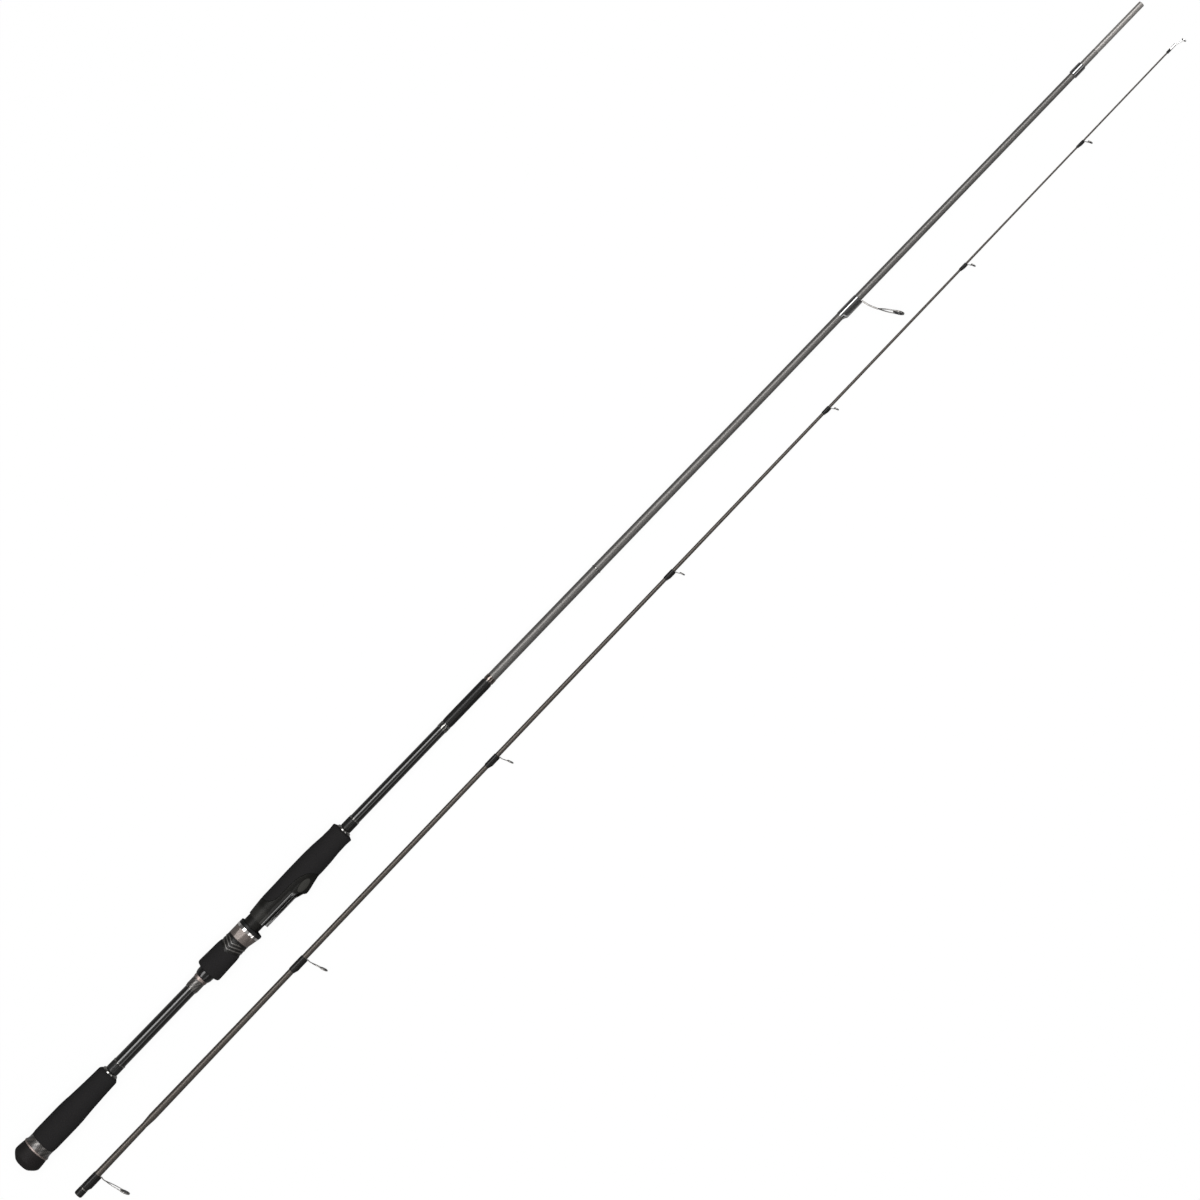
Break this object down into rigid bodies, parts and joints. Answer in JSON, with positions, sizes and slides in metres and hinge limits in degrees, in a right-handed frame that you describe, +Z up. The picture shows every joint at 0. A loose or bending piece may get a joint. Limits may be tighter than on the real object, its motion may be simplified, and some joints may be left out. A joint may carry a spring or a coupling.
{
  "type": "spinning rod",
  "caption": "Two-piece spinning rod: split foam handle, screw-down reel seat with a sliding hood, whipped ring guides, ferrule joint and tip-top.",
  "frame": {"origin": "middle of the bottom of the whole rod, both sections lying side by side on a flat surface", "axes": "+X along the rod from the butt cap to the tip, +Z up, guides facing -Y"},
  "size_m": [1.3396, 0.0948, 0.0269],
  "materials": {
    "butt_rubber": "matte moulded rubber",
    "eva_foam": "matte closed-cell EVA foam, fine pores",
    "bronze_ring": "polished, bronze-tinted anodised",
    "silver_trim": "bright polished trim",
    "copper_trim": "polished copper-coloured trim",
    "carbon_gloss": "clear-coated carbon fibre pattern",
    "blank_carbon": "satin grey carbon blank with fine tape lines",
    "thread_lacquer": "black thread winding under clear lacquer",
    "seat_gloss": "glossy dark graphite-filled nylon",
    "pad_matte": "matte soft-touch graphite",
    "nylon": "dark glass-filled nylon",
    "hood_metal": "satin brown-grey anodised",
    "frame_metal": "bright stainless",
    "ceramic": "polished dark ceramic",
    "arbor_tape": "paper arbor tape"
  },
  "bodies": {
    "butt_section": {"butt_cap": "butt_rubber", "rear_grip": "eva_foam", "foregrip": "eva_foam", "butt_ring": "bronze_ring", "tail_ring": "bronze_ring", "rear_check": "silver_trim", "rear_trim_ring": "silver_trim", "split_trim_ring": "silver_trim", "foregrip_check": "silver_trim", "foregrip_trim_ring": "silver_trim", "band_rear": "silver_trim", "marker_band": "silver_trim", "band_front": "copper_trim", "butt_collar": "carbon_gloss", "tail_collar": "carbon_gloss", "butt_blank": "blank_carbon", "rear_wrap": "thread_lacquer", "foregrip_wrap": "thread_lacquer", "label_wrap": "thread_lacquer", "ferrule_whip": "thread_lacquer", "tail_cone": "thread_lacquer", "guide_0_wrap": "thread_lacquer", "reel_seat": "seat_gloss", "finger_pad": "pad_matte", "guide_0_frame": "frame_metal", "guide_0_ring": "ceramic", "seat_arbor": "arbor_tape"},
    "moving_hood": {"moving_hood": "hood_metal", "hood_liner": "nylon"},
    "lock_nut": {"lock_nut": "nylon", "nut_grip": "eva_foam", "nut_band": "nylon"},
    "tip_section": {"tip_blank": "blank_carbon", "socket_whip": "thread_lacquer", "socket_trim_ring": "silver_trim", "tip_top_frame": "frame_metal", "tip_top_ring": "ceramic", "tip_top_whip": "thread_lacquer", "guide_1_frame": "frame_metal", "guide_1_ring": "ceramic", "guide_1_wrap": "thread_lacquer", "guide_2_frame": "frame_metal", "guide_2_ring": "ceramic", "guide_2_wrap": "thread_lacquer", "guide_3_frame": "frame_metal", "guide_3_ring": "ceramic", "guide_3_wrap": "thread_lacquer", "guide_4_frame": "frame_metal", "guide_4_ring": "ceramic", "guide_4_wrap": "thread_lacquer", "guide_5_frame": "frame_metal", "guide_5_ring": "ceramic", "guide_5_wrap": "thread_lacquer", "guide_6_frame": "frame_metal", "guide_6_ring": "ceramic", "guide_6_wrap": "thread_lacquer", "guide_7_frame": "frame_metal", "guide_7_ring": "ceramic", "guide_7_wrap": "thread_lacquer"}
  },
  "joints": [
    {"name": "nut_spin", "type": "hinge", "parent": "moving_hood", "child": "lock_nut", "pos_m": [-0.42874, 0.0343, 0.01185], "axis": [1, 0, -0.008], "range_deg": [0, 840]},
    {"name": "hood_slide", "type": "slide", "parent": "butt_section", "child": "moving_hood", "axis": [1, 0, -0.008], "range_m": [0, 0.007]},
    {"name": "tip_slide", "type": "slide", "parent": "butt_section", "child": "tip_section", "axis": [1, 0.0057, 0], "range_m": [0, 1.33]}
  ],
  "couplings": [
    {"joint": "hood_slide", "follows": "nut_spin", "m_per_rad": 0.00047746}
  ]
}
